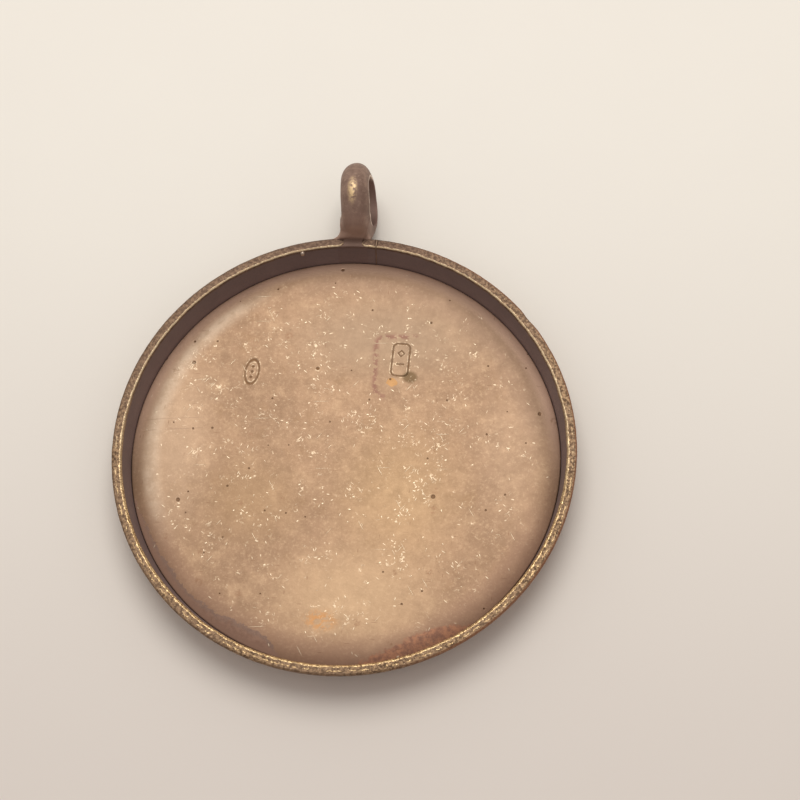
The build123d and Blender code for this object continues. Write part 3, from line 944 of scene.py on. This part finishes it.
def bail_metal():
    """Dark brown patina, rubbed through to gold where the bail is handled; painted light at the root, in the
    crease and in the hole, painted shade low in the hole, and a painted highlight on the crown.
    """
    s = Shader("bail_metal")
    y, z = s.axis(1), s.axis(2)
    past_case = s.math("SUBTRACT", y, CASE_RADIUS)
    past_eye = s.math("SUBTRACT", y, float(EYE_CENTRE[1]))
    tone = s.mix(s.grain(0.8, 3, 0.6, 1, 0.35, 0.68), (0.20, 0.122, 0.09), (0.29, 0.187, 0.138))
    tone = s.paint(tone, (0.42, 0.29, 0.21), s.grain(0.18, 3, 0.72, 2, 0.52, 0.68), 0.45)
    tone = s.paint(tone, (0.13, 0.07, 0.05), s.grain(0.22, 3, 0.72, 7, 0.52, 0.68), 0.45)
    # from the ring down to the inner wall: root, waist, crease and neck; the lighter root is painted light
    # that lifts the shade where the ring runs into its foot
    tone = s.paint(tone, (0.36, 0.232, 0.178), s.between(past_case, 1.3, 0.3), 0.6)
    waist = s.times(s.between(past_case, 2.5, 1.6), s.between(past_case, 0.5, 1.1))
    tone = s.paint(tone, (0.16, 0.094, 0.07), waist, 0.4)
    # painted light in the crease beside the lip, lifting its shade
    crease = s.times(s.between(past_case, 0.3, 0.1), s.between(past_case, -0.2, -0.08))
    tone = s.paint(tone, (0.42, 0.27, 0.20), crease, 0.45)
    tone = s.paint(tone, (0.135, 0.077, 0.056), s.between(past_case, -0.08, -0.2), 0.9)
    # the hole's wall, lighter on its upper part as painted light against its shadow and darker at its lower
    # end as patina and painted shade, and its chipped edges
    bore_light_and_shade = s.mix(s.between(past_eye, 0.5, -0.9), (0.285, 0.187, 0.152), (0.15, 0.09, 0.072))
    tone = s.paint(tone, bore_light_and_shade, s.attribute("bore"), 0.85)
    low_arc = s.between(z, EYE_CENTRE[2] + 0.3, EYE_CENTRE[2] - 0.3)
    bright = s.mix(low_arc, (0.92, 0.75, 0.60), (0.20, 0.11, 0.085))
    chipped = s.blend(s.grain(0.25, 3, 0.7, 8, 0.3, 0.5), 0.35, 0.95)
    tone = s.paint(tone, bright, s.attribute("edge"), chipped)
    # rubbed gold on the crown: worn metal that also stands in as a painted highlight
    worn_gold_and_highlight = s.patch((EYE_CENTRE[0] - 0.27, EYE_CENTRE[1] - 0.3), (0.4, 1.1), 0.7)
    crown = s.between(z, EYE_CENTRE[2] + 0.8, EYE_CENTRE[2] + 1.3)
    rub = s.times(worn_gold_and_highlight, crown, s.grain(0.2, 4, 0.75, 3, 0.4, 0.56))
    colour = s.paint(tone, (0.70, 0.50, 0.26), rub, 0.85)
    # the foot's face that continues the case's inner wall
    wall = s.between(s.radius(), MOUTH_RADIUS + 0.06, MOUTH_RADIUS - 0.04)
    wall = s.times(wall, s.between(z, CASE_HEIGHT, CASE_HEIGHT - 0.3))
    colour = s.paint(colour, (0.185, 0.133, 0.125), wall)
    roughness = s.blend(rub, s.blend(s.noise(0.4, 2, 0.5, seed=4), 0.5, 0.66), 0.34)
    normal = s.bump(s.noise(0.35, 3, 0.6, seed=5), 0.03, strength=0.5)
    normal = s.bump(s.noise(0.09, 3, 0.6, seed=6), 0.01, previous=normal, strength=0.5)
    return s.finish(colour, roughness, 0.4, normal)


def solder_metal():
    """Dull solder line, filed flush."""
    s = Shader("solder_metal")
    colour = s.mix(s.noise(0.2, 3, 0.6, seed=1), (0.14, 0.085, 0.055), (0.3, 0.2, 0.13))
    normal = s.bump(s.noise(0.08, 2, 0.5, seed=2), 0.01, strength=0.5)
    return s.finish(colour, 0.55, 0.6, normal)


def bead_metal():
    """Small bright drop of solder."""
    s = Shader("bead_metal")
    colour = s.mix(s.noise(0.12, 2, 0.5, seed=1), (0.3, 0.22, 0.18), (0.7, 0.58, 0.46))
    return s.finish(colour, 0.38, 0.8, s.bump(s.noise(0.06, 2, 0.5, seed=2), 0.008, strength=0.4))


def paper():
    """Plain pale sheet with a faint tooth, and painted shade that dims it towards the near side."""
    s = Shader("paper")
    # painted shade: darker from the far side to the near side, as the window light falls off
    colour = s.mix(s.between(s.axis(1), 24.0, -26.0), (0.845, 0.81, 0.735), (0.70, 0.64, 0.585))
    colour = s.paint(colour, (0.75, 0.70, 0.645), s.noise(9.0, 4, 0.6, seed=1), 0.25)
    normal = s.bump(s.noise(0.5, 3, 0.6, seed=2), 0.02, strength=0.25)
    return s.finish(colour, 0.9, 0.0, normal)


# ---------------------------------------------------------------- putting it together


def dress(obj, material, node=None):
    """Give a piece its material, its body and the CAD node that it stands for."""
    obj.data.materials.clear()
    obj.data.materials.append(material)
    if node:
        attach(obj, BODY)
        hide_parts(node)
    return obj


def add_floor():
    """The sheet of paper that the case lies on."""
    mesh = bpy.data.meshes.new("paper_sheet")
    half = 600 * MM
    corners = [(-half, -half, 0), (half, -half, 0), (half, half, 0), (-half, half, 0)]
    mesh.from_pydata(corners, [], [(0, 1, 2, 3)])
    sheet = bpy.data.objects.new("paper_sheet", mesh)
    sheet.location.z = -0.02 * MM
    mesh.materials.append(paper())
    bpy.context.scene.collection.objects.link(sheet)


def add_light(name, place, size, watts, colour):
    """A round soft light aimed at the case."""
    light = bpy.data.lights.new(name, "AREA")
    light.shape = "DISK"
    light.size = size
    light.energy = watts
    light.color = colour
    lamp = bpy.data.objects.new(name, light)
    lamp.location = place
    lamp.rotation_mode = "QUATERNION"
    lamp.rotation_quaternion = (-Vector(place)).to_track_quat("-Z", "Y")
    lamp.visible_camera = False
    bpy.context.scene.collection.objects.link(lamp)


def add_world():
    """Soft room light, brighter towards the window side."""
    world = bpy.data.worlds.new("room")
    world.use_nodes = True
    tree = world.node_tree
    background = tree.nodes["Background"]
    place = tree.nodes.new("ShaderNodeTexCoord")
    facing = tree.nodes.new("ShaderNodeVectorMath")
    facing.operation = "DOT_PRODUCT"
    to_window = Vector((-0.25, 0.75, 0.6)).normalized()
    facing.inputs[1].default_value = to_window
    tree.links.new(place.outputs["Generated"], facing.inputs[0])
    spread = tree.nodes.new("ShaderNodeMapRange")
    spread.inputs["From Min"].default_value = -0.6
    spread.inputs["From Max"].default_value = 0.95
    tree.links.new(facing.outputs["Value"], spread.inputs["Value"])
    mix = tree.nodes.new("ShaderNodeMix")
    mix.data_type = "RGBA"
    room_side, window_side = (0.40, 0.345, 0.33, 1), (0.68, 0.655, 0.635, 1)
    mix.inputs[6].default_value = room_side
    mix.inputs[7].default_value = window_side
    tree.links.new(spread.outputs[0], mix.inputs["Factor"])
    tree.links.new(mix.outputs[2], background.inputs["Color"])
    background.inputs["Strength"].default_value = 1.0
    bpy.context.scene.world = world


def add_camera():
    """Camera above the case, a little to the right, with a slight roll."""
    azimuth, elevation, roll = (math.radians(angle) for angle in (8.29, 67.81, -6.97))
    distance = 121.03 * MM
    aim = Vector((0.237 * CASE_RADIUS, 0.2204 * CASE_RADIUS, CASE_HEIGHT)) * MM
    level = math.cos(elevation)
    back = Vector((math.sin(azimuth) * level, -math.cos(azimuth) * level, math.sin(elevation)))
    data = bpy.data.cameras.new("camera")
    data.lens = 90
    data.sensor_width = 36
    data.clip_start, data.clip_end = 0.001, 10
    camera = bpy.data.objects.new("camera", data)
    camera.location = aim + back * distance
    camera.rotation_mode = "QUATERNION"
    camera.rotation_quaternion = (-back).to_track_quat("-Z", "Y") @ Quaternion((0, 0, 1), roll)
    bpy.context.scene.collection.objects.link(camera)
    bpy.context.scene.camera = camera


band_material, floor_material = band_metal(), floor_metal()
bail_material, solder_material = bail_metal(), solder_metal()
dress(floor_sheet(), floor_material, "floor_sheet")
dress(side_band(), band_material, "side_band")
dress(bail_piece(), bail_material, "bail")
dress(solder_piece(-1), bail_material, "bail_solder_left")
dress(solder_piece(1), bail_material, "bail_solder_right")
dress(bead_piece(), bead_metal(), "solder_bead")
dress(frame["nodes"]["band_seam_solder"], solder_material)
dress(frame["nodes"]["floor_solder"], solder_material)
add_floor()
add_light("window", place=(0.0, 0.095, 0.195), size=0.17, watts=0.253, colour=(1.0, 0.985, 0.955))
add_world()
add_camera()
bpy.context.scene.view_settings.view_transform = "Standard"
